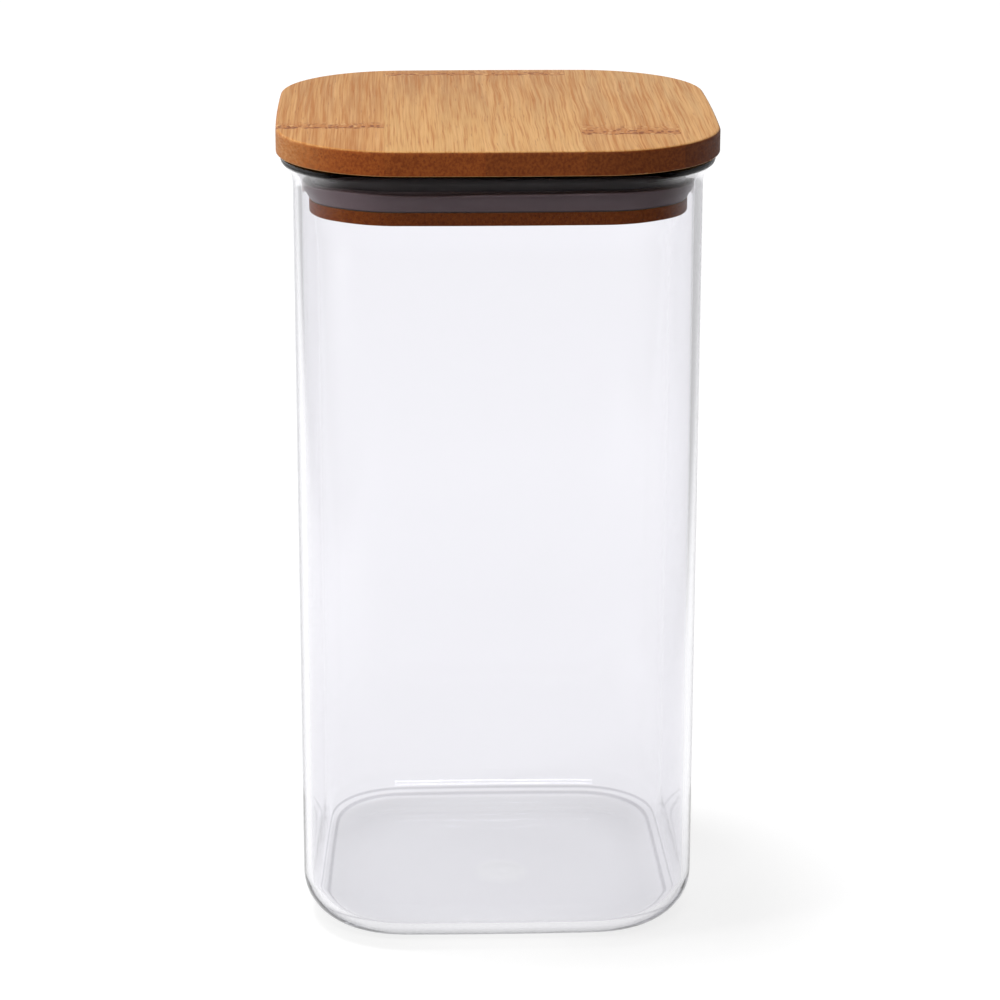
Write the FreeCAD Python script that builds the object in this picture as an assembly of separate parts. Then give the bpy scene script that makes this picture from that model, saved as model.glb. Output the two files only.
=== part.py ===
import FreeCAD, Part
import math
import os

# Square storage canister: a clear glass jar, and a bamboo lid whose plug carries a silicone seal.
# Millimetres, +Z up. The origin is the middle of the base, on the surface that the jar stands on.
# Bamboo grain runs front to back, along Y, and the strips lie side by side along X.

# Glass jar
body_width = 100.0        # outside, from the middle of one side to the middle of the opposite one
corner_radius = 25.5      # plan corner, outside
side_radius = 900.0       # plan radius of the slightly bowed sides, outside
wall = 2.0                # side wall
base_thickness = 2.5      # floor of the jar
base_fillet = 11.5        # round between side and base, outside
foot_width = 8.0          # flat ring that the jar stands on, at the middle of a side
push_up = 0.8             # rise of the base inside that ring
mark_diameter = 14.5      # round moulding mark under the base
mark_depth = 0.5
jar_height = 197.8        # top of the rim
flare_radius = 6.5        # outside of the flared rim
flare_angle = 52.0        # degrees that the wall leans out at the rim's edge

# Bamboo lid
rim_gap = 0.2             # between the rim and the plate that covers it
lid_overhang = 1.0        # plate beyond the rim
lid_corner_ease = 1.6     # extra radius of the plate's plan corners
plate_thickness = 6.0
plate_top_round = 0.8
plate_bottom_round = 0.5
plug_clearance = 2.0      # between the plug's flange and the glass
upper_ply = 6.7           # plug ply under the plate
lower_ply = 6.7           # plug ply with the flange
flange_thickness = 3.2
flange_round = 0.4
groove_depth = 2.5        # seal groove, measured in from the flange
strip_width = 23.6
middle_seam = -3.9        # x of the glue line nearest to the middle of the plate
edge_strip = 10.6         # trimmed strip at the plate's right-hand edge

# Silicone seal
seal_clearance = 0.2      # between the lip and the glass
seal_slack = 0.05         # between the seal's band and the bamboo around it
seal_band = 1.6           # thickness of the band in the groove
seal_proud = 0.2          # foot of the lip beyond the flange
lip_height = 5.4          # tip of the lip above the flange
lip_thickness = 0.8       # at its tip
lip_bow = 0.25            # how far the lip swells from a straight line
crotch_height = 2.2       # where the lip leaves the band, above the flange

Z_AXIS = FreeCAD.Vector(0, 0, 1)
ORIGIN = FreeCAD.Vector(0, 0, 0)
SAW_MARGIN = 1.0          # how far the cuts between strips reach past a board
SAME_HEIGHT = 1e-6        # heights closer than this are one height


def upright_plane(centre, radius, angle):
    """A function that places (out, height) in the upright plane at an angle around a centre."""
    def place(out, height):
        reach = radius + out
        return FreeCAD.Vector(centre.x + reach * math.cos(angle), centre.y + reach * math.sin(angle), height)
    return place


def section(start, steps, place):
    """A closed flat face. A step of one point is a line to it, one of two is an arc through the first."""
    edges = []
    here = place(*start)
    for step in steps:
        points = [place(*point) for point in step]
        if len(points) == 1:
            edges.append(Part.makeLine(here, points[0]))
        else:
            edges.append(Part.Arc(here, *points).toShape())
        here = points[-1]
    return Part.Face(Part.Wire(edges))


def joined(solids):
    return solids[0].multiFuse(solids[1:]).removeSplitter().Solids[0]


class Outline:
    """A rounded square with bowed sides: four wide arcs and four corner arcs, all tangent."""

    def __init__(self, half_width, corner, side):
        self.half_width = half_width
        self.corner = corner
        self.side = side

    def grown(self, distance):
        """The outline at an even distance outside this one, or inside it if negative."""
        return Outline(self.half_width + distance, self.corner + distance, self.side + distance)

    def arcs(self):
        """Each arc as its centre, radius, first angle and turn, in order around the outline."""
        side_centre = self.half_width - self.side
        reach = 2 * (self.side - self.corner) ** 2 - side_centre ** 2
        corner_centre = (side_centre + math.sqrt(reach)) / 2
        join = math.atan2(corner_centre, corner_centre - side_centre)
        found = []
        for quarter in range(4):
            turned = FreeCAD.Rotation(Z_AXIS, 90 * quarter)
            start = quarter * math.pi / 2
            centre = turned.multVec(FreeCAD.Vector(side_centre, 0, 0))
            found.append((centre, self.side, start - join, 2 * join))
            centre = turned.multVec(FreeCAD.Vector(corner_centre, corner_centre, 0))
            found.append((centre, self.corner, start + join, math.pi / 2 - 2 * join))
        return found

    def prism(self, bottom, top):
        """The solid that fills the outline between two heights."""
        edges = []
        for centre, radius, first, turn in self.arcs():
            angles = (first, first + turn / 2, first + turn)
            points = [upright_plane(centre, radius, angle)(0, bottom) for angle in angles]
            edges.append(Part.Arc(*points).toShape())
        return Part.Face(Part.Wire(edges)).extrude(Z_AXIS * (top - bottom))

    def ring(self, start, steps):
        """The solid that a section sweeps around the outline, in (out from the outline, height)."""
        spans = []
        for centre, radius, first, turn in self.arcs():
            face = section(start, steps, upright_plane(centre, radius, first))
            spans.append(face.revolve(centre, Z_AXIS, math.degrees(turn)))
        return joined(spans)


# Plan outlines, each worked out from the jar's
body = Outline(body_width / 2, corner_radius, side_radius)
bore = body.grown(-wall)
foot = body.grown(-base_fillet)
flange = bore.grown(-plug_clearance)
neck = flange.grown(-groove_depth)

lean = math.radians(flare_angle)
rim_half = wall / 2
rim_centre_out = flare_radius - (flare_radius + rim_half) * math.cos(lean)
flare_rise = (flare_radius + rim_half) * math.sin(lean)
flare_start = jar_height - rim_half - flare_rise
cover = body.grown(rim_centre_out + rim_half + lid_overhang)
plate = Outline(cover.half_width, cover.corner + lid_corner_ease, cover.side)

# Heights
lid_seat = jar_height + rim_gap
ply_joint = lid_seat - upper_ply
plug_bottom = ply_joint - lower_ply
flange_top = plug_bottom + flange_thickness


def jar_section():
    """The wall from the edge of the foot up to the rim and back down inside, out from the body's outside."""
    def on_flare(radius, angle):
        return (flare_radius - radius * math.cos(angle), flare_start + radius * math.sin(angle))

    def on_base(radius, angle, height):
        return (-base_fillet + radius * math.cos(angle), height - radius * math.sin(angle))

    inner_fillet = base_fillet - wall
    inner_flare = flare_radius + wall
    inner_centre = base_thickness + inner_fillet
    eighth_turn = math.pi / 4
    rim_height = flare_start + flare_rise
    rim_edge = (rim_centre_out + rim_half * math.sin(lean), rim_height + rim_half * math.cos(lean))
    start = (-base_fillet, 0)
    steps = [
        [on_base(base_fillet, eighth_turn, base_fillet), (0, base_fillet)],
        [(0, flare_start)],
        [on_flare(flare_radius, lean / 2), on_flare(flare_radius, lean)],
        [rim_edge, on_flare(inner_flare, lean)],
        [on_flare(inner_flare, lean / 2), (-wall, flare_start)],
        [(-wall, inner_centre)],
        [on_base(inner_fillet, eighth_turn, inner_centre), (-base_fillet, base_thickness)],
        [start],
    ]
    return start, steps


def dome(radius, rise, bottom, skirt=0.0):
    """A low dome about the Z axis, standing on a straight skirt if one is given."""
    spring = bottom + skirt
    sphere = (radius ** 2 + rise ** 2) / (2 * rise)
    half_turn = math.asin(radius / sphere) / 2
    middle = (sphere * math.sin(half_turn), spring + rise - sphere * (1 - math.cos(half_turn)))
    steps = [[(radius, bottom)]]
    if skirt:
        steps.append([(radius, spring)])
    steps += [[middle, (0, spring + rise)], [(0, bottom)]]
    return section((0, bottom), steps, upright_plane(ORIGIN, 0, 0)).revolve(ORIGIN, Z_AXIS, 360)


def glass_jar():
    shell = body.ring(*jar_section())
    floor = foot.prism(0, base_thickness)
    dome_radius = foot.half_width - foot_width
    jar = joined([shell, floor, dome(dome_radius, push_up, base_thickness)])
    jar = jar.cut(dome(dome_radius, push_up, 0))
    return jar.cut(dome(mark_diameter / 2, mark_depth, 0, skirt=push_up)).Solids[0]


def seal_ring():
    """A band in the groove, with a lip that leaves its foot and leans out to the glass."""
    foot_out = groove_depth + seal_proud
    lip_out = groove_depth + plug_clearance - seal_clearance
    lip_in = lip_out - lip_thickness
    tip_half = lip_thickness / 2
    tip_level = flange_top + lip_height - tip_half
    band_out = seal_slack + seal_band
    band_top = lid_seat - seal_slack
    crotch = flange_top + crotch_height
    start = (seal_slack, flange_top)
    steps = [
        [(foot_out, flange_top)],
        [((foot_out + lip_out) / 2 + lip_bow, (flange_top + tip_level) / 2), (lip_out, tip_level)],
        [(lip_out - tip_half, tip_level + tip_half), (lip_in, tip_level)],
        [((lip_in + band_out) / 2 + lip_bow, (tip_level + crotch) / 2), (band_out, crotch)],
        [(band_out, band_top)],
        [(seal_slack, band_top)],
        [start],
    ]
    return neck.ring(start, steps)


def edges_at(solid, height):
    """The edges that lie flat at a height."""
    flat = []
    for edge in solid.Edges:
        box = edge.BoundBox
        if abs(box.ZMin - height) < SAME_HEIGHT and abs(box.ZMax - height) < SAME_HEIGHT:
            flat.append(edge)
    return flat


def lid_plate():
    top = lid_seat + plate_thickness
    board = plate.prism(lid_seat, top)
    board = board.makeFillet(plate_top_round, edges_at(board, top))
    return board.makeFillet(plate_bottom_round, edges_at(board, lid_seat))


def plug_upper():
    return neck.prism(ply_joint, lid_seat)


def plug_lower():
    """The flange, with the lower part of the seal's groove milled above it."""
    wide = flange.prism(plug_bottom, flange_top)
    wide = wide.makeFillet(flange_round, edges_at(wide, plug_bottom))
    return joined([wide, neck.prism(flange_top, ply_joint)])


def seams(first, last, shift=0.0):
    """Glue lines counted in strips from the middle one, moved along by a share of a strip."""
    return [middle_seam + (count + shift) * strip_width for count in range(first, last + 1)]


def strips(board, glue_lines):
    """The strips between a board's glue lines, from left to right."""
    box = board.BoundBox
    sides = [box.XMin - SAW_MARGIN] + glue_lines + [box.XMax + SAW_MARGIN]
    depth = box.YLength + 2 * SAW_MARGIN
    height = box.ZLength + 2 * SAW_MARGIN
    found = []
    for left, right in zip(sides, sides[1:]):
        corner = FreeCAD.Vector(left, box.YMin - SAW_MARGIN, box.ZMin - SAW_MARGIN)
        slab = Part.makeBox(right - left, depth, height, corner)
        found.append(board.common(slab).Solids[0])
    return found


def write(name, solid):
    solid.exportStep(os.path.join("parts", name + ".step"))


os.makedirs("parts", exist_ok=True)
write("glass_jar", glass_jar())
write("seal_ring", seal_ring())
boards = {
    "lid_strip": strips(lid_plate(), seams(-1, 1) + [plate.half_width - edge_strip]),
    "plug_upper_strip": strips(plug_upper(), seams(-1, 1, shift=0.5)),
    "plug_lower_strip": strips(plug_lower(), seams(-1, 1)),
}
for board_name, board_strips in boards.items():
    for number, strip in enumerate(board_strips, start=1):
        write(f"{board_name}_{number}", strip)
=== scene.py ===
import bpy
import math
import numpy as np
from mathutils import Matrix, Vector


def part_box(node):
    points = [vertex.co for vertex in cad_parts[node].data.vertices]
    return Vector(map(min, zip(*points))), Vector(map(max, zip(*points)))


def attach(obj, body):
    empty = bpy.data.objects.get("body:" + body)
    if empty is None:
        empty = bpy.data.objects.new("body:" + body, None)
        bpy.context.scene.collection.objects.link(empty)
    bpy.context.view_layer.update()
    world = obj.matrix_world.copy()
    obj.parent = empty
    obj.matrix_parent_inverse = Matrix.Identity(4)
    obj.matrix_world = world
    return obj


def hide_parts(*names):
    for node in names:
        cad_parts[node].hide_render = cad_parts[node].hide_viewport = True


# A square glass canister with a bamboo lid and a silicone seal, in metres, +Z up, with its front at -Y.
# The bamboo is the CAD pieces, with grain painted by nodes. The glass and the seal are smooth meshes that
# stand for their CAD pieces.

MM = 0.001

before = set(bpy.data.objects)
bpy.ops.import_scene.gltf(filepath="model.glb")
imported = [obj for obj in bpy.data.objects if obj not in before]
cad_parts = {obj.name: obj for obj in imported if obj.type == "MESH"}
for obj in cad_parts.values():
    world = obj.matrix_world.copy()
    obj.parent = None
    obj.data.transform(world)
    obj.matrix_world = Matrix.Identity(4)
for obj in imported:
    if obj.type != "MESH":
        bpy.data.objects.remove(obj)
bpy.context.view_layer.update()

# Camera, fitted to the outlines of the jar and the lid
CAMERA_TURN = math.radians(-1.918)       # the canister stands turned a little from the camera
CAMERA_ASIDE = 1.36 * MM
CAMERA_BACK = 832.1 * MM
CAMERA_HEIGHT = 362.3 * MM
CAMERA_TILT_DOWN = math.radians(17.338)
CAMERA_ROLL = math.radians(0.099)
CAMERA_LENS = 122.56                     # in the same unit as the sensor's width
CAMERA_SENSOR = 36.0
CAMERA_NEAR = 0.01
CAMERA_FAR = 50.0

# Glass jar, with the CAD's sizes apart from the mark, which is where the photo shows it, and shallower
BODY_HALF = 50.0 * MM
CORNER_RADIUS = 25.5 * MM
SIDE_RADIUS = 900.0 * MM
CORNER_BLEND = 3.0 * MM                  # over which the bend of a side grows into that of a corner
WALL = 2.0 * MM
BASE_THICKNESS = 2.5 * MM
BASE_FILLET = 11.5 * MM
INNER_FILLET = 9.5 * MM
FOOT_WIDTH = 8.0 * MM
PUSH_UP = 0.8 * MM
MARK_RADIUS = 7.25 * MM
MARK_DEPTH = 0.1 * MM
MARK_FLAT = 0.2                          # share of the mark's radius that has the full depth
MARK_PLACE = np.array((1.5, -6.5)) * MM
FLARE_RADIUS = 6.5 * MM
FLARE_LEAN = math.radians(52.0)
JAR_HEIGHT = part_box("glass_jar")[1].z

# Seal, with the CAD's sizes and a softer lip, measured out from the plug's neck
NECK_INSET = 6.5 * MM                    # from the body's outside in to the neck
SEAL_BOTTOM, SEAL_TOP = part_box("seal_ring")[0].z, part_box("seal_ring")[1].z
BAND_IN, BAND_OUT = 0.05 * MM, 1.65 * MM
LIP_FOOT_OUT = 2.7 * MM
LIP_FOOT_ROUND = 0.45 * MM
LIP_TIP_OUT = 4.3 * MM
LIP_THICKNESS = 0.8 * MM
LIP_HEIGHT = 5.4 * MM
LIP_BOW = 0.25 * MM
CROTCH_HEIGHT = 2.2 * MM
LIP_SAG = 1.1 * MM                       # how far the soft lip dips in places
LIP_PULL = 0.3                           # how far it draws in there, as a share of the dip
LIP_WAVES = [(0.25, 3, 0.6), (0.15, 7, 2.0), (0.1, 11, 4.1)]  # share, dips around the lid, and phase

# Mesh steps
JAR_AROUND = 256
SEAL_AROUND = 192
ARC_POINTS = 400                         # in each arc, before the outline is spaced evenly
DENSER = 8                               # points that are smoothed for each one that is kept
SMOOTHING_PASSES = 2
FILLET_STEPS = 20
STRAIGHT_STEPS = 40
FLARE_STEPS = 14
RIM_STEPS = 12
SEAL_STEPS = {"foot": 3, "round": 5, "lip": 8, "tip": 8, "back": 6, "band": 4, "top": 2, "inside": 6}

# Rings of the base, as shares of the way from its middle to the foot
MARK_RINGS = np.linspace(0.02, 0.26, 16)
OUTER_RINGS = np.linspace(0.3, 1.0, 18)[:-1]
ROUND_UNTIL = 0.35                       # further out they turn into the foot's outline
ON_MARK_UNTIL = 0.2                      # further out their middle moves from the mark's to the jar's


def smoothstep(low, high, value):
    share = np.clip((value - low) / (high - low), 0.0, 1.0)
    return share * share * (3 - 2 * share)


def new_object(name, vertices, faces):
    """A smooth-shaded mesh object."""
    mesh = bpy.data.meshes.new(name)
    mesh.from_pydata([tuple(v) for v in vertices], [], faces)
    mesh.validate()
    mesh.shade_smooth()
    made = bpy.data.objects.new(name, mesh)
    bpy.context.scene.collection.objects.link(made)
    return made


def body_outline(count):
    """Points around the body's outside, evenly spaced from the middle of the right-hand side, with their
    outward normals. Four wide arcs and four corner arcs, with the jump in bend between them smoothed."""
    side_centre = BODY_HALF - SIDE_RADIUS
    reach = 2 * (SIDE_RADIUS - CORNER_RADIUS) ** 2 - side_centre ** 2
    corner_centre = (side_centre + math.sqrt(reach)) / 2
    join = math.atan2(corner_centre, corner_centre - side_centre)
    half_side = np.linspace(0, join, ARC_POINTS, endpoint=False)
    corner = np.linspace(join, math.pi / 2 - join, ARC_POINTS, endpoint=False)
    upper = np.c_[side_centre + SIDE_RADIUS * np.cos(half_side), SIDE_RADIUS * np.sin(half_side)]
    round_part = corner_centre + CORNER_RADIUS * np.c_[np.cos(corner), np.sin(corner)]
    quarter = np.r_[upper, round_part, upper[:0:-1, ::-1]]
    turns = [np.array(Matrix.Rotation(i * math.pi / 2, 2)) for i in range(4)]
    closed = np.concatenate([quarter @ turn.T for turn in turns] + [quarter[:1]])
    run = np.r_[0, np.cumsum(np.linalg.norm(np.diff(closed, axis=0), axis=1))]
    dense = DENSER * count
    at = np.linspace(0, run[-1], dense, endpoint=False)
    even = np.c_[np.interp(at, run, closed[:, 0]), np.interp(at, run, closed[:, 1])]
    blend = round(CORNER_BLEND / (run[-1] / dense))
    for _ in range(SMOOTHING_PASSES):
        even = np.mean([np.roll(even, shift, axis=0) for shift in range(-blend, blend + 1)], axis=0)
    even *= BODY_HALF / even[:, 0].max()
    along = np.roll(even, -1, axis=0) - np.roll(even, 1, axis=0)
    normals = np.c_[along[:, 1], -along[:, 0]]
    normals /= np.linalg.norm(normals, axis=1)[:, None]
    return even[::DENSER], normals[::DENSER]


def arc(centre, radius, first, last, count):
    """Points of an arc in (out, height), without its first point."""
    angles = np.linspace(first, last, count + 1)[1:]
    return [(centre[0] + radius * math.cos(a), centre[1] + radius * math.sin(a)) for a in angles]


def bowed(start, end, bow, count):
    """Points of a shallow curve in (out, height), without its first point, swelling outwards by bow."""
    points = []
    for s in np.linspace(0, 1, count + 1)[1:]:
        swell = 4 * bow * s * (1 - s)
        points.append((start[0] + (end[0] - start[0]) * s + swell, start[1] + (end[1] - start[1]) * s))
    return points


def line(start, end, count):
    """Points of a straight run in (out, height), without its first point."""
    return bowed(start, end, 0.0, count)


def ring_faces(rings, around):
    """Quads between each ring of points and the next."""
    faces = []
    for low in range(rings - 1):
        here, above = low * around, (low + 1) * around
        for i in range(around):
            j = (i + 1) % around
            faces.append((here + i, here + j, above + j, above + i))
    return faces


def jar_profile():
    """The wall's section in (out from the body's outside, height), from the foot up, over the rim and down
    inside to the floor."""
    rim = WALL / 2
    rise = (FLARE_RADIUS + rim) * math.sin(FLARE_LEAN)
    flare_start = JAR_HEIGHT - rim - rise
    flare_centre = (FLARE_RADIUS, flare_start)
    rim_centre = (FLARE_RADIUS - (FLARE_RADIUS + rim) * math.cos(FLARE_LEAN), flare_start + rise)
    inner_centre = (-WALL - INNER_FILLET, BASE_THICKNESS + INNER_FILLET)
    half_turn = math.pi
    points = [(-BASE_FILLET, 0.0)]
    points += arc((-BASE_FILLET, BASE_FILLET), BASE_FILLET, -half_turn / 2, 0, FILLET_STEPS)
    points += line((0, BASE_FILLET), (0, flare_start), STRAIGHT_STEPS)
    points += arc(flare_centre, FLARE_RADIUS, half_turn, half_turn - FLARE_LEAN, FLARE_STEPS)
    points += arc(rim_centre, rim, -FLARE_LEAN, half_turn - FLARE_LEAN, RIM_STEPS)
    points += arc(flare_centre, FLARE_RADIUS + WALL, half_turn - FLARE_LEAN, half_turn, FLARE_STEPS)
    points += line((-WALL, flare_start), (-WALL, inner_centre[1]), STRAIGHT_STEPS)
    points += arc(inner_centre, INNER_FILLET, 0, -half_turn / 2, FILLET_STEPS)
    return points


def base_rise(points, marked):
    """How far the base is pushed up at points in plan, with the mark under it if asked."""
    dome_radius = BODY_HALF - BASE_FILLET - FOOT_WIDTH
    radius = np.linalg.norm(points, axis=1)
    rise = PUSH_UP * np.clip(1 - (radius / dome_radius) ** 2, 0, 1) ** 2
    if marked:
        reach = np.linalg.norm(points - MARK_PLACE, axis=1) / MARK_RADIUS
        rise = rise + MARK_DEPTH * (1 - smoothstep(MARK_FLAT, 1.0, reach))
    return rise


def base_rings(foot, spokes, height, marked):
    """Rings from the middle of the mark out to the foot: round at first, then more and more like the foot."""
    foot_radius = BODY_HALF - BASE_FILLET
    found = []
    for share in np.r_[MARK_RINGS, OUTER_RINGS]:
        square = smoothstep(ROUND_UNTIL, 1.0, share)
        ring = share * ((1 - square) * foot_radius * spokes + square * foot)
        ring = ring + (1 - smoothstep(ON_MARK_UNTIL, 1.0, share)) * MARK_PLACE
        found.append(np.c_[ring, height + base_rise(ring, marked)])
    return found


def glass_jar():
    """The jar as one closed surface: under the base, up the outside, over the rim and down the inside."""
    outline, normals = body_outline(JAR_AROUND)
    foot = outline - BASE_FILLET * normals
    spokes = outline / np.linalg.norm(outline, axis=1)[:, None]
    rings = base_rings(foot, spokes, 0.0, True)
    for out, height in jar_profile():
        rings.append(np.c_[outline + out * normals, np.full(JAR_AROUND, height)])
    rings += base_rings(foot, spokes, BASE_THICKNESS, False)[::-1]
    middle = MARK_PLACE[None, :]
    low, high = base_rise(middle, True)[0], BASE_THICKNESS + base_rise(middle, False)[0]
    poles = np.array([[*MARK_PLACE, low], [*MARK_PLACE, high]])
    faces = ring_faces(len(rings), JAR_AROUND)
    last = (len(rings) - 1) * JAR_AROUND
    bottom_pole = len(rings) * JAR_AROUND
    for i in range(JAR_AROUND):
        j = (i + 1) % JAR_AROUND
        faces.append((bottom_pole, j, i))
        faces.append((bottom_pole + 1, last + i, last + j))
    return new_object("glass_jar_blown", np.concatenate(rings + [poles]), faces)


def seal_profile():
    """The seal's section in (out from the neck, height above its bottom), around from its inner corner."""
    tip = LIP_THICKNESS / 2
    tip_level = LIP_HEIGHT - tip
    height = SEAL_TOP - SEAL_BOTTOM
    soft = LIP_FOOT_ROUND
    quarter = math.pi / 2
    steps = SEAL_STEPS
    points = [(BAND_IN, 0.0)]
    points += line((BAND_IN, 0), (LIP_FOOT_OUT - soft, 0), steps["foot"])
    points += arc((LIP_FOOT_OUT - soft, soft), soft, -quarter, 0, steps["round"])
    points += bowed((LIP_FOOT_OUT, soft), (LIP_TIP_OUT, tip_level), LIP_BOW, steps["lip"])
    points += arc((LIP_TIP_OUT - tip, tip_level), tip, 0, 2 * quarter, steps["tip"])
    points += bowed((LIP_TIP_OUT - 2 * tip, tip_level), (BAND_OUT, CROTCH_HEIGHT), LIP_BOW, steps["back"])
    points += line((BAND_OUT, CROTCH_HEIGHT), (BAND_OUT, height), steps["band"])
    points += line((BAND_OUT, height), (BAND_IN, height), steps["top"])
    points += line((BAND_IN, height), (BAND_IN, 0), steps["inside"])[:-1]
    return points


def soft_seal():
    """The seal, with a lip that dips a little where it isn't pressed evenly."""
    outline, normals = body_outline(SEAL_AROUND)
    neck = outline - NECK_INSET * normals
    turn = np.linspace(0, 2 * math.pi, SEAL_AROUND, endpoint=False)
    waves = np.full(SEAL_AROUND, 0.5)
    for share, dips, phase in LIP_WAVES:
        waves = waves + share * np.sin(dips * turn + phase)
    rings = []
    for out, height in seal_profile():
        on_lip = smoothstep(BAND_OUT, LIP_TIP_OUT, out) * smoothstep(0, LIP_HEIGHT, height)
        dip = LIP_SAG * waves * on_lip
        rings.append(np.c_[neck + (out - LIP_PULL * dip)[:, None] * normals, SEAL_BOTTOM + height - dip])
    total = len(rings) * SEAL_AROUND
    faces = [tuple(v % total for v in face) for face in ring_faces(len(rings) + 1, SEAL_AROUND)]
    return new_object("seal_ring_soft", np.concatenate(rings), faces)


class Nodes:
    """Short calls for building a node tree."""

    def __init__(self, tree):
        self.tree = tree
        tree.nodes.clear()

    def add(self, kind, inputs=None, **settings):
        made = self.tree.nodes.new("ShaderNode" + kind)
        for key, value in settings.items():
            setattr(made, key, value)
        for key, value in (inputs or {}).items():
            self.put(made.inputs[key], value)
        return made

    def put(self, socket, value):
        if isinstance(value, bpy.types.NodeSocket):
            self.tree.links.new(value, socket)
        else:
            socket.default_value = value

    def math(self, operation, a, b=0.0):
        return self.add("Math", {0: a, 1: b}, operation=operation).outputs[0]

    def plus(self, a, b):
        return self.math("ADD", a, b)

    def minus(self, a, b):
        return self.math("SUBTRACT", a, b)

    def times(self, a, b):
        return self.math("MULTIPLY", a, b)

    def largest(self, a, b):
        return self.math("MAXIMUM", a, b)

    def size(self, a):
        return self.math("ABSOLUTE", a)

    def vector(self, operation, a, b=(0.0, 0.0, 0.0)):
        return self.add("VectorMath", {0: a, 1: b}, operation=operation).outputs

    def noise(self, vector, detail=2.0, roughness=0.5):
        inputs = {"Vector": vector, "Scale": 1.0, "Detail": detail, "Roughness": roughness}
        return self.add("TexNoise", inputs).outputs["Fac"]

    def cells(self, vector):
        """The distance from the nearest cell's middle, and a number from 0 to 1 that the cell keeps."""
        found = self.add("TexVoronoi", {"Vector": vector, "Scale": 1.0}).outputs
        return found["Distance"], self.parts(found["Color"])["X"]

    def range(self, value, low, high, to_low=0.0, to_high=1.0):
        """A smooth change from to_low to to_high while the value goes from low to high."""
        inputs = {0: value, 1: low, 2: high, 3: to_low, 4: to_high}
        return self.add("MapRange", inputs, interpolation_type="SMOOTHSTEP").outputs[0]

    def fade(self, value, low, high, start=1.0):
        """A smooth fall from start to nothing while the value goes from low to high."""
        return self.range(value, low, high, start, 0.0)

    def stretch(self, vector, scale, shift=(0.0, 0.0, 0.0)):
        return self.add("Mapping", {"Vector": vector, "Location": shift, "Scale": scale}).outputs[0]

    def parts(self, vector):
        return self.add("SeparateXYZ", {0: vector}).outputs

    def bump(self, height, strength, distance):
        return self.add("Bump", {"Strength": strength, "Distance": distance, "Height": height}).outputs[0]

    def mix(self, share, a, b):
        made = self.add("Mix", data_type="RGBA")
        color_inputs = [s for s in made.inputs if s.type == "RGBA"]
        self.put(made.inputs["Factor"], share)
        self.put(color_inputs[0], a)
        self.put(color_inputs[1], b)
        return [s for s in made.outputs if s.type == "RGBA"][0]

    def mix_shader(self, share, a, b):
        return self.add("MixShader", {0: share, 1: a, 2: b}).outputs[0]

    def surface(self, shader):
        self.add("OutputMaterial", {"Surface": shader})


def material(name):
    made = bpy.data.materials.new(name)
    made.use_nodes = True
    return made, Nodes(made.node_tree)


def rgb(red, green, blue):
    """A colour as seen on a screen, 0 to 255, as the linear values that shaders take."""
    def linear(value):
        value /= 255
        return value / 12.92 if value <= 0.04045 else ((value + 0.055) / 1.055) ** 2.4
    return (linear(red), linear(green), linear(blue), 1.0)


def shaded(colour, share):
    """A colour made lighter or darker by a share of its light, as painted light or shade."""
    return (*(share * part for part in colour[:3]), 1.0)


# Glass: each pair of values is where a change starts and where it ends
# Painted shade: the walls are tinted darker low down than high up.
WALL_TINT_AND_SHADE_LOW = (0.9, 0.897, 0.921, 1)
WALL_TINT_HIGH = (0.942, 0.939, 0.963, 1)
WALL_CHANGE = (14 * MM, 110 * MM)        # heights over which the painted shade low on the walls fades out
BASE_TINT_FRONT = (0.96, 0.959, 0.982, 1)
BASE_TINT_AND_SHADE_BACK = (0.93, 0.929, 0.952, 1)
BASE_CHANGE = (5 * MM, 40 * MM)          # along Y, over which painted shade darkens the base towards its back
BASE_TO_WALL = (3 * MM, 14 * MM)         # heights
# Painted shade: a dark ring on the inside of the base, where it faces up.
RING_SHADE_TINT = (0.45, 0.44, 0.48, 1)
RING_STRENGTH = 0.85
RING_HEIGHT = 4.2 * MM                   # of the ring of painted shade where the inside bends from the wall to the floor
RING_FADE = (0.1 * MM, 0.5 * MM)         # above and below that height
FACING_UP = (0.1, 0.3)                   # upward part of the normal, on the inside of the base
MARK_TINT = (0.985, 0.987, 1.0, 1)
MARK_EDGE = (0.94 * MARK_RADIUS, 1.02 * MARK_RADIUS)
# Painted shade: at the front of the neck the glass mirrors less, with a lower index, and its reflections are
# tinted dark brown.
NECK_HEIGHTS = (177 * MM, 184 * MM)
NECK_SIDES = (34 * MM, 47 * MM)          # left and right of the middle
NECK_FRONT = (-40 * MM, -30 * MM)        # along Y
GLASS_IOR = 1.5
NECK_IOR = 1.14                          # mirrors less, for the dark band under the lid in the photo
MIRROR_TINT = (0.75, 0.75, 0.77, 1)
NECK_MIRROR_SHADE = (0.2, 0.12, 0.1, 1)
HAZE_SCALE = (60, 60, 36)                # in each metre
WAVE_SCALE = (45, 45, 16)
STRAIGHT_PASS = (0.95, 0.95, 0.955, 1)   # light that passes a surface head on
SLANTED_PASS = (0.1, 0.1, 0.1, 1)        # and at a slant
INSIDE_COLOUR = (0.5, 0.5, 0.54, 1)
INSIDE_DENSITY = 18.0


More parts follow.
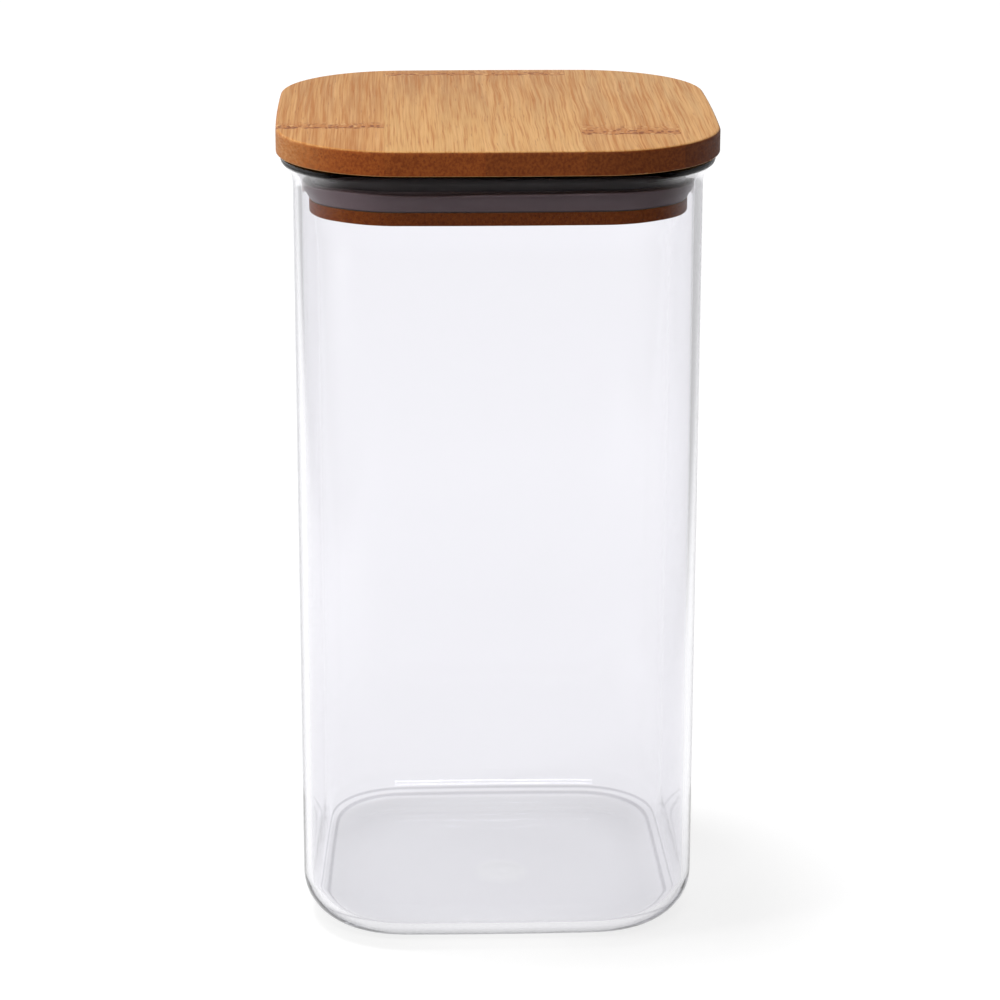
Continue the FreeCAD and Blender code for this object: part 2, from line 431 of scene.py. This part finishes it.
def glass_tint(n, place, normal):
    """Walls with painted shade that makes them darker low down and paler upwards, and a base with painted
    shade towards its back, a dark ring of painted shade around it, and a pale round mark.
    """
    at = n.parts(place)
    # Painted shade: the walls darker low down.
    wall = n.mix(n.range(at["Z"], *WALL_CHANGE), WALL_TINT_AND_SHADE_LOW, WALL_TINT_HIGH)
    # Painted shade: the base darker towards its back.
    base = n.mix(n.range(at["Y"], *BASE_CHANGE), BASE_TINT_FRONT, BASE_TINT_AND_SHADE_BACK)
    tint = n.mix(n.range(at["Z"], *BASE_TO_WALL), base, wall)
    # Painted shade: a dark ring where the inside bends from the wall to the floor, on the parts that face up.
    off_ring = n.size(n.minus(at["Z"], RING_HEIGHT))
    facing_up = n.range(n.parts(normal)["Z"], *FACING_UP)
    ring = n.times(n.fade(off_ring, *RING_FADE, RING_STRENGTH), facing_up)
    tint = n.mix(ring, tint, RING_SHADE_TINT)
    from_mark = n.vector("DISTANCE", place, (*MARK_PLACE, 0.0))["Value"]
    return n.mix(n.range(from_mark, *MARK_EDGE), MARK_TINT, tint)


def neck_shade_mask(n, place):
    """A mask of the front of the jar's neck, away from its side edges, where the glass gets painted shade."""
    at = n.parts(place)
    middle = n.fade(n.size(at["X"]), *NECK_SIDES)
    front = n.fade(at["Y"], *NECK_FRONT)
    return n.times(n.range(at["Z"], *NECK_HEIGHTS), n.times(middle, front))


def glass_material():
    """Clear glass, a little violet in its walls and with painted shade in its tint, that takes light away
    where it is thick or crossed at a slant, and that mirrors less and darker at the front of the neck, as
    painted shade there."""
    made, n = material("clear_glass")
    coords = n.add("TexCoord").outputs
    place = coords["Object"]
    neck = neck_shade_mask(n, place)
    haze = n.noise(n.stretch(place, HAZE_SCALE), 3)
    waves = n.noise(n.stretch(place, WAVE_SCALE), 1)
    shader = n.add("BsdfPrincipled", {
        "Base Color": glass_tint(n, place, coords["Normal"]),
        "Roughness": n.range(haze, 0.55, 0.8, 0.0, 0.012),
        # Painted shade: a lower index and dark brown reflections at the front of the neck.
        "IOR": n.range(neck, 0.0, 1.0, GLASS_IOR, NECK_IOR),
        "Transmission Weight": 1.0,
        "Specular Tint": n.mix(neck, MIRROR_TINT, NECK_MIRROR_SHADE),
        "Normal": n.bump(waves, strength=0.15, distance=0.02 * MM),
    }).outputs[0]
    slant = n.add("LayerWeight", {"Blend": 0.5}).outputs["Facing"]
    passed = n.mix(n.range(slant, 0.1, 0.95), STRAIGHT_PASS, SLANTED_PASS)
    clear = n.add("BsdfTransparent", {"Color": passed}).outputs[0]
    path = n.add("LightPath").outputs
    for_light = n.mix_shader(path["Is Diffuse Ray"], shader, clear)
    inside = n.add("VolumeAbsorption", {"Color": INSIDE_COLOUR, "Density": INSIDE_DENSITY}).outputs[0]
    n.add("OutputMaterial", {
        "Surface": n.mix_shader(path["Is Shadow Ray"], for_light, clear),
        "Volume": inside,
    })
    return made


# Bamboo: a scale is how often a pattern repeats in each millimetre along X, Y and Z
STRIP_SHIFT = (37.0, 91.0, 13.0)         # millimetres from one strip's patterns to those of the next
WANDER_SCALE = (0.05, 0.03, 0.05)
WANDER = 0.9                             # millimetres
SWIRL_SCALE = (0.25, 0.2, 0.25)
SWIRL = 4.0                              # millimetres
STREAK_SCALE = (0.45, 0.012, 0.45)
FIBRE_SCALE = (1.9, 0.03, 1.9)
THREAD_SCALE = (3.6, 0.06, 3.6)
DASH_SCALE = (1.5, 0.1, 1.5)
SPECKLE_SCALE = (1.6, 0.12, 1.3)
BUNDLE_SCALE = (1.2, 0.1, 1.0)
JOINT_RIPPLE = 5.0                       # millimetres
JOINT_RIPPLE_SCALE = (0.22, 0.0, 0.0)
JOINT_BREAK_SCALE = (0.3, 0.1, 0.0)
JOINT_SPECK_SCALE = (0.8, 0.5, 0.8)
JOINT_DRIFT_SCALE = 0.25
JOINT_DRIFT = (2.6, 2.2, 0.0)            # how far specks stray, in cells of their pattern
FRONT_TO_BACK = (-45, 50)                # millimetres along Y between which a strip's colour changes
PALE_STREAK = rgb(228, 172, 106)
PALE_FIBRE = rgb(232, 180, 116)
DARK_FIBRE = rgb(184, 116, 60)
DARK_THREAD = rgb(172, 102, 48)
DARK_DASH = rgb(150, 82, 40)
JOINT_HALO = rgb(180, 108, 52)
JOINT_DARK = rgb(122, 58, 20)
JOINT_PALE = rgb(236, 196, 136)
SAWN_PALE = rgb(140, 72, 27)
SAWN_DARK = rgb(114, 52, 17)
SAWN_BUNDLE = rgb(70, 30, 12)


class BambooLook:
    """What sets one strip of bamboo apart: its colours at the back and front, the painted light or shade on
    its sawn edges, how much of the top's colour shows on a side along the grain, partly as the paler long
    grain and partly as painted light, how much its grain wanders, and its stem joint, if it has one: the
    place along Y and the reach behind it in millimetres, and its strength."""

    def __init__(self, back, front, edge=1.0, side=0.0, wavy=1.0,
                 joint=0.0, joint_reach=8.0, joint_strength=0.0):
        self.back = back
        self.front = front
        self.edge = edge
        self.side = side
        self.wavy = wavy
        self.joint = joint
        self.joint_reach = joint_reach
        self.joint_strength = joint_strength


# Painted light from the left: the edge shares fall from the left strip to the right one.
PLATE_LOOKS = [
    # Paler long grain and painted light: only this lit left strip's side takes the top's colour.
    BambooLook(rgb(191, 138, 84), rgb(197, 139, 80), edge=1.2, side=0.6,
               joint=-24, joint_strength=1.0),
    BambooLook(rgb(187, 136, 85), rgb(213, 164, 103), edge=1.1,
               joint=46.5, joint_reach=7.0, joint_strength=0.8),
    BambooLook(rgb(190, 140, 89), rgb(211, 163, 104), edge=0.9, wavy=2.5,
               joint=46, joint_strength=0.8),
    BambooLook(rgb(200, 154, 102), rgb(197, 145, 89), edge=0.75, wavy=2.2,
               joint=-33, joint_reach=14.0, joint_strength=1.0),
    BambooLook(rgb(201, 157, 106), rgb(206, 157, 100), edge=0.6, wavy=1.8),
]
PLUG_LOOK = BambooLook(rgb(198, 150, 96), rgb(205, 157, 100))


def stem_joint(n, look, along, own):
    """Masks of the stem joint in a strip: its halo, its dark broken line with specks, and its pale specks."""
    ripple = n.times(n.noise(n.stretch(own, JOINT_RIPPLE_SCALE), 2, 0.6), JOINT_RIPPLE)
    behind = n.minus(along, n.plus(look.joint - JOINT_RIPPLE / 2, ripple))
    near = n.times(n.range(behind, -1.5, 0.5), n.fade(behind, 0.5, look.joint_reach))
    close = n.times(n.range(behind, -2.0, -0.4), n.fade(behind, 0.8, look.joint_reach))
    broken = n.range(n.noise(n.stretch(own, JOINT_BREAK_SCALE), 2), 0.42, 0.55)
    dark_line = n.times(n.fade(n.size(behind), 0.15, 0.55), broken)
    drift = n.add("TexNoise", {"Vector": own, "Scale": JOINT_DRIFT_SCALE}).outputs["Color"]
    warped = n.vector("ADD", n.stretch(own, JOINT_SPECK_SCALE), n.stretch(drift, JOINT_DRIFT))[0]
    distance, pick = n.cells(warped)
    speck = n.times(n.fade(distance, 0.35, 0.6), close)
    dark = n.largest(dark_line, n.times(speck, n.range(pick, 0.5, 0.6)))
    pale = n.times(speck, n.fade(pick, 0.12, 0.2))
    return [n.times(mask, look.joint_strength) for mask in (near, dark, pale)]


def wandering_grain(n, look, own, halo):
    """Places that follow the fibres, which wander a little, and swirl near a stem joint."""
    wander = n.minus(n.noise(n.stretch(own, WANDER_SCALE), 2), 0.5)
    swirl = n.minus(n.noise(n.stretch(own, SWIRL_SCALE), 2), 0.5)
    shift = n.plus(n.times(wander, WANDER * look.wavy), n.times(n.times(swirl, halo), SWIRL))
    return n.vector("ADD", own, n.add("CombineXYZ", {0: shift}).outputs[0])[0]


def bamboo_top(n, look, along, grain, fibres, threads, joint_masks):
    """The colour of a strip's top and bottom."""
    halo, joint_dark, joint_pale = joint_masks
    streaks = n.noise(n.stretch(grain, STREAK_SCALE), 2)
    distance, pick = n.cells(n.stretch(grain, DASH_SCALE))
    dashes = n.times(n.fade(distance, 0.1, 0.28), n.range(pick, 0.55, 0.8))
    colour = n.mix(n.range(along, *FRONT_TO_BACK), look.front, look.back)
    colour = n.mix(n.fade(streaks, 0.3, 0.65, 0.4), colour, PALE_STREAK)
    colour = n.mix(n.fade(fibres, 0.3, 0.5, 0.35), colour, PALE_FIBRE)
    colour = n.mix(n.range(fibres, 0.48, 0.68, 0.0, 0.7), colour, DARK_FIBRE)
    colour = n.mix(n.range(threads, 0.5, 0.72, 0.0, 0.4), colour, DARK_THREAD)
    colour = n.mix(n.times(dashes, 0.4), colour, DARK_DASH)
    colour = n.mix(n.times(halo, 0.6), colour, JOINT_HALO)
    colour = n.mix(n.times(joint_dark, 0.8), colour, JOINT_DARK)
    return n.mix(n.times(joint_pale, 0.6), colour, JOINT_PALE)


def bamboo_edge(n, look, own, normal, top):
    """The colour of a strip's sawn edges: darker and redder than the top, speckled by its bundles, and made
    lighter or darker by painted light and shade. A side along the grain keeps some of the top's colour,
    partly as the paler long grain and partly as painted light."""
    speckle = n.noise(n.stretch(own, SPECKLE_SCALE), 3, 0.65)
    distance, pick = n.cells(n.stretch(own, BUNDLE_SCALE))
    bundles = n.times(n.fade(distance, 0.1, 0.35), n.range(pick, 0.6, 0.7))
    # Painted light and shade: the sawn colours scaled by the strip's edge share.
    sawn = n.mix(n.range(speckle, 0.35, 0.68), shaded(SAWN_PALE, look.edge), shaded(SAWN_DARK, look.edge))
    sawn = n.mix(n.times(bundles, 0.5), sawn, SAWN_BUNDLE)
    # Partly the paler long grain and partly painted light: a side along the grain takes some of the top's
    # colour.
    return n.mix(n.fade(n.size(normal["Y"]), 0.3, 0.95, look.side), sawn, top)


def bamboo_material(name, look, number):
    """Bamboo with its grain along Y. Lengths in the nodes are millimetres."""
    made, n = material(name)
    coords = n.add("TexCoord").outputs
    place = n.stretch(coords["Object"], (1 / MM, 1 / MM, 1 / MM))
    own = n.stretch(place, (1, 1, 1), tuple(step * number for step in STRIP_SHIFT))
    along = n.parts(place)["Y"]
    normal = n.parts(coords["Normal"])
    joint_masks = stem_joint(n, look, along, own)
    grain = wandering_grain(n, look, own, joint_masks[0])
    fibres = n.noise(n.stretch(grain, FIBRE_SCALE), 2, 0.6)
    threads = n.noise(n.stretch(grain, THREAD_SCALE), 2, 0.6)
    top = bamboo_top(n, look, along, grain, fibres, threads, joint_masks)
    edge = bamboo_edge(n, look, own, normal, top)
    shader = n.add("BsdfPrincipled", {
        "Base Color": n.mix(n.fade(n.size(normal["Z"]), 0.5, 0.92), top, edge),
        "Roughness": n.range(fibres, 0.2, 0.8, 0.45, 0.6),
        "Specular IOR Level": 0.15,
        "Normal": n.bump(threads, strength=0.3, distance=0.06 * MM),
    })
    n.surface(shader.outputs[0])
    return made


# Silicone
SILICONE_DARK = (0.17, 0.12, 0.13, 1)
SILICONE_PALE = (0.22, 0.165, 0.175, 1)
SILICONE_SHADE = (0.012, 0.006, 0.006, 1)
SILICONE_CLOUDS = (90, 90, 90)           # in each metre
GROOVE_SHADE = 0.5 * MM                  # under the top of the lip, where the painted shade of the groove starts
FOOT_SHADE = 0.7 * MM                    # height of the painted shade line along the foot


def silicone_material():
    """Grey silicone, with painted shade that makes it nearly black up in the groove behind the lip and along
    the foot.
    """
    made, n = material("silicone")
    place = n.add("TexCoord").outputs["Object"]
    height = n.parts(place)["Z"]
    cloud = n.noise(n.stretch(place, SILICONE_CLOUDS), 3)
    lip_top = SEAL_BOTTOM + LIP_HEIGHT
    # Painted shade up in the groove behind the lip.
    groove = n.range(height, lip_top - GROOVE_SHADE, lip_top)
    # Painted shade: a dark line along the foot.
    foot = n.fade(height, SEAL_BOTTOM, SEAL_BOTTOM + FOOT_SHADE, 0.9)
    colour = n.mix(cloud, SILICONE_DARK, SILICONE_PALE)
    colour = n.mix(groove, colour, SILICONE_SHADE)
    colour = n.mix(foot, colour, SILICONE_SHADE)
    shader = n.add("BsdfPrincipled", {
        "Base Color": colour,
        "Roughness": n.range(cloud, 0.3, 0.7, 0.32, 0.45),
        "Specular IOR Level": 0.3,
    })
    n.surface(shader.outputs[0])
    return made


# Floor and room
FLOOR_HALF = 6.0
FLOOR_LEVEL = -0.15 * MM                 # just under the foot, so that the two don't share a plane
LIT_MIDDLE = -0.07                       # along X
LIT_SIDES = (0.20, 0.36)                 # from there, where the light starts to fade and where it ends
LIT_SPREAD = 0.15                        # how much the lit part widens with each metre to the back
LIT_FRONT = (-0.40, -0.12)               # along Y, where the light comes up in front of the canister
DIM_GLOW, LIT_GLOW = 0.5, 1.3
PAINTED_GLOW_UNDER = 1.16                        # painted light: times the glow, under the canister
UNDER_REACH = (0.03, 0.06)
GLOW_SHARE = 0.59                        # of the floor's look that takes no shadow
PAPER = (0.8, 0.8, 0.8, 1)
PAPER_FOR_LIGHT = (0.4, 0.4, 0.4, 1)
WHITE = (1, 1, 1, 1)


def floor_material():
    """White behind the canister and beside it, and dimmer in front of it and far to its sides, which gives
    the clear glass its edges. Under the canister it glows brighter, as painted light. It takes the canister's
    shadow."""
    made, n = material("floor")
    place = n.add("TexCoord").outputs["Object"]
    at = n.parts(place)
    aside = n.size(n.plus(at["X"], -LIT_MIDDLE))
    beyond = n.minus(aside, n.times(n.largest(at["Y"], 0.0), LIT_SPREAD))
    lit = n.times(n.fade(beyond, *LIT_SIDES), n.range(at["Y"], *LIT_FRONT))
    from_middle = n.vector("LENGTH", place)["Value"]
    # Painted light: the floor glows brighter under the canister.
    under = n.range(from_middle, *UNDER_REACH, PAINTED_GLOW_UNDER, 1.0)
    strength = n.times(n.range(lit, 0, 1, DIM_GLOW, LIT_GLOW), under)
    path = n.add("LightPath").outputs
    seen = n.largest(path["Is Camera Ray"], path["Is Glossy Ray"])
    seen = n.largest(seen, path["Is Transmission Ray"])
    paper = n.add("BsdfDiffuse", {"Color": PAPER}).outputs[0]
    glow = n.add("Emission", {"Color": WHITE, "Strength": strength}).outputs[0]
    for_light = n.add("BsdfDiffuse", {"Color": PAPER_FOR_LIGHT}).outputs[0]
    n.surface(n.mix_shader(seen, for_light, n.mix_shader(GLOW_SHARE, paper, glow)))
    return made


def dress(piece, finish):
    piece.data.materials.clear()
    piece.data.materials.append(finish)


def make_floor():
    half, level = FLOOR_HALF, FLOOR_LEVEL
    corners = [(-half, -half, level), (half, -half, level), (half, half, level), (-half, half, level)]
    floor = new_object("floor", corners, [(0, 1, 2, 3)])
    dress(floor, floor_material())


def make_world():
    """A pale room, dimmer overhead, in front of the canister and on its right."""
    world = bpy.data.worlds.new("studio")
    world.use_nodes = True
    bpy.context.scene.world = world
    n = Nodes(world.node_tree)
    direction = n.parts(n.add("TexCoord").outputs["Generated"])
    overhead = n.range(direction["Z"], 0.4, 0.8, 1.0, 0.55)
    behind = n.range(direction["Y"], -0.7, 0.5, 0.35, 1.0)
    right = n.range(direction["X"], -0.8, 0.8, 1.1, 0.45)
    level = n.times(n.times(overhead, behind), right)
    room = n.add("Background", {"Color": WHITE, "Strength": level}).outputs[0]
    n.add("OutputWorld", {"Surface": room})


def add_lamp(lamp, heading, mirrored):
    """A lamp that shines along a heading, and that the glass shows if it is mirrored."""
    made = bpy.data.objects.new(lamp.name, lamp)
    made.rotation_euler = heading.to_track_quat("-Z", "Y").to_euler()
    made.visible_glossy = mirrored
    made.visible_transmission = mirrored
    bpy.context.scene.collection.objects.link(made)
    return made


def make_sun(to_light, energy, angle):
    lamp = bpy.data.lights.new("key", "SUN")
    lamp.energy = energy
    lamp.angle = angle
    add_lamp(lamp, -Vector(to_light), mirrored=False)


def make_strip_lamp(name, place, target, size, power, mirrored):
    lamp = bpy.data.lights.new(name, "AREA")
    lamp.shape = "RECTANGLE"
    lamp.size, lamp.size_y = size
    lamp.energy = power
    made = add_lamp(lamp, Vector(target) - Vector(place), mirrored)
    made.location = place


def make_camera():
    lens = bpy.data.cameras.new("camera")
    lens.sensor_width = CAMERA_SENSOR
    lens.lens = CAMERA_LENS
    lens.clip_start = CAMERA_NEAR
    lens.clip_end = CAMERA_FAR
    made = bpy.data.objects.new("camera", lens)
    turn = Matrix.Rotation(CAMERA_TURN, 4, "Z")
    tilt = Matrix.Rotation(math.pi / 2 - CAMERA_TILT_DOWN, 4, "X")
    roll = Matrix.Rotation(CAMERA_ROLL, 4, "Z")
    place = turn @ Vector((CAMERA_ASIDE, -CAMERA_BACK, CAMERA_HEIGHT))
    made.matrix_world = Matrix.Translation(place) @ turn @ tilt @ roll
    bpy.context.scene.collection.objects.link(made)
    bpy.context.scene.camera = made


def allow_bounces(bounces, clear_bounces):
    """How often light may bounce. With too few, the base of the jar gets black bands."""
    settings = bpy.context.scene.cycles
    settings.max_bounces = bounces
    settings.transmission_bounces = bounces
    settings.glossy_bounces = bounces
    settings.transparent_max_bounces = clear_bounces


jar = glass_jar()
dress(jar, glass_material())
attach(jar, "jar")
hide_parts("glass_jar")

seal = soft_seal()
dress(seal, silicone_material())
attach(seal, "lid")
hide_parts("seal_ring")

strip_names = [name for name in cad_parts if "strip" in name]
for number, name in enumerate(strip_names, start=1):
    look = PLATE_LOOKS[int(name[-1]) - 1] if name.startswith("lid") else PLUG_LOOK
    dress(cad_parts[name], bamboo_material(name, look, number))

make_floor()
make_world()
make_sun(to_light=(-0.18, 0.06, 1.0), energy=1.6, angle=math.radians(15))
make_strip_lamp("front_strip", place=(-0.05, -0.75, 0.75), target=(0, 0, 0.1), size=(0.45, 0.1),
                power=2.0, mirrored=True)
make_strip_lamp("left_fill", place=(-0.8, -0.35, 0.3), target=(0, 0, 0.19), size=(0.15, 0.6),
                power=3.2, mirrored=False)
make_camera()
bpy.context.scene.view_settings.view_transform = "Standard"
allow_bounces(40, clear_bounces=24)
